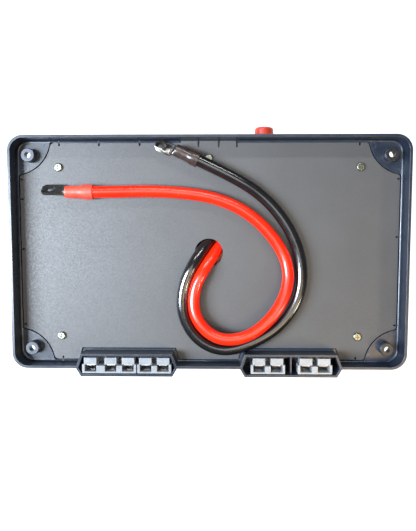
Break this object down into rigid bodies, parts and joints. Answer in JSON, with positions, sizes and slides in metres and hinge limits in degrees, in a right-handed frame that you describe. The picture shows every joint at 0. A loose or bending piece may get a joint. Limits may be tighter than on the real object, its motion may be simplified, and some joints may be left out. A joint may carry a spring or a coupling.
{
  "type": "battery box power hub lid",
  "caption": "Powered lid of a portable battery box, lying on its top face, with high-current connectors in side pods, breaker button, socket panel and free battery leads.",
  "frame": {"origin": "centre of the flat top face of the lid, which lies on the bench", "axes": "+X along the length, +Y towards the long side with the red button, +Z out of the open underside"},
  "size_m": [0.426, 0.2725, 0.0868],
  "materials": {
    "casing_plastic": "dark slate moulded ABS",
    "plate_plastic": "grey moulded sheet, fine texture",
    "gasket_rubber": "black foam rubber",
    "screw_steel": "zinc-plated",
    "sleeve_metal": "black oxide",
    "connector_plastic": "light grey moulded polycarbonate",
    "contact_metal": "silver-plated copper",
    "spring_steel": "spring steel",
    "lead_red": "red silicone",
    "lead_black": "black silicone",
    "copper": "tinned copper bar",
    "tinned_copper": "tin-plated copper",
    "insulator": "black moulded nylon",
    "button_red": "coral red",
    "panel_plastic": "black textured",
    "fitting_plastic": "black moulded nylon",
    "window": "smoked clear",
    "circuit_board": "green board",
    "fuse_plastic": "translucent amber",
    "cable_red": "glossy red jacket",
    "cable_black": "glossy black jacket",
    "shrink_red": "coral-red heat-shrink",
    "shrink_black": "black heat-shrink"
  },
  "bodies": {
    "hub": {"lid_shell": "casing_plastic", "lid_rim": "casing_plastic", "connector_bays": "casing_plastic", "cover_plate": "plate_plastic", "cover_gasket": "gasket_rubber", "cover_plate_screws": "screw_steel", "corner_sleeves": "sleeve_metal", "connector_3pole": "connector_plastic", "connector_2pole_a": "connector_plastic", "connector_2pole_b": "connector_plastic", "connector_2pole_c": "connector_plastic", "connector_contacts": "contact_metal", "contact_springs": "spring_steel", "connector_screws": "screw_steel", "positive_output_leads": "lead_red", "negative_output_leads": "lead_black", "crimped_lugs": "tinned_copper", "positive_busbar": "copper", "negative_busbar": "copper", "busbar_feet": "insulator", "busbar_studs": "screw_steel", "stud_nuts": "screw_steel", "negative_link_bar": "copper", "negative_post": "contact_metal", "main_breaker": "insulator", "breaker_terminals": "tinned_copper", "breaker_bezel_nut": "fitting_plastic", "reset_button_spring": "spring_steel", "control_panel": "panel_plastic", "control_panel_screws": "screw_steel", "accessory_socket_1": "fitting_plastic", "accessory_socket_2": "fitting_plastic", "socket_liners": "screw_steel", "socket_centre_contacts": "contact_metal", "socket_nuts": "insulator", "usb_charger": "fitting_plastic", "cover_hinge_pins": "screw_steel", "rocker_housing": "fitting_plastic", "display_window": "window", "display_module": "circuit_board", "fuse_block": "insulator", "blade_fuses": "fuse_plastic", "red_inner_lead": "lead_red", "black_inner_lead": "lead_black", "breaker_load_lead": "lead_red", "cable_clamp_base": "insulator", "cable_clamp_cap": "insulator", "cable_clamp_screws": "screw_steel", "accessory_wires": "lead_black", "red_battery_cable": "cable_red", "black_battery_cable": "cable_black", "red_lug": "tinned_copper", "red_lug_sleeve": "shrink_red", "black_lug": "tinned_copper", "black_lug_sleeve": "shrink_black"},
    "reset_button": {"reset_button": "button_red"},
    "rocker_paddle": {"rocker_paddle": "fitting_plastic"},
    "socket_cover_1": {"socket_cover_1": "fitting_plastic"},
    "socket_cover_2": {"socket_cover_2": "fitting_plastic"},
    "usb_cover": {"usb_cover": "fitting_plastic"}
  },
  "joints": [
    {"name": "reset_button_slide", "type": "slide", "parent": "hub", "child": "reset_button", "axis": [0, -1, 0], "range_m": [0, 0.003], "stiffness_N_per_m": 300, "springref_m": -0.002, "deforming": ["reset_button_spring"]},
    {"name": "rocker_tilt", "type": "hinge", "parent": "hub", "child": "rocker_paddle", "pos_m": [0.118, 0.072, 0.014], "axis": [1, 0, 0], "range_deg": [-16, 0]},
    {"name": "socket_cover_1_hinge", "type": "hinge", "parent": "hub", "child": "socket_cover_1", "pos_m": [-0.124, 0.0736, 0.0089], "axis": [1, 0, 0], "range_deg": [0, 110]},
    {"name": "socket_cover_2_hinge", "type": "hinge", "parent": "hub", "child": "socket_cover_2", "pos_m": [-0.078, 0.0736, 0.0089], "axis": [1, 0, 0], "range_deg": [0, 110]},
    {"name": "usb_cover_hinge", "type": "hinge", "parent": "hub", "child": "usb_cover", "pos_m": [-0.032, 0.0736, 0.0089], "axis": [1, 0, 0], "range_deg": [0, 110]}
  ]
}
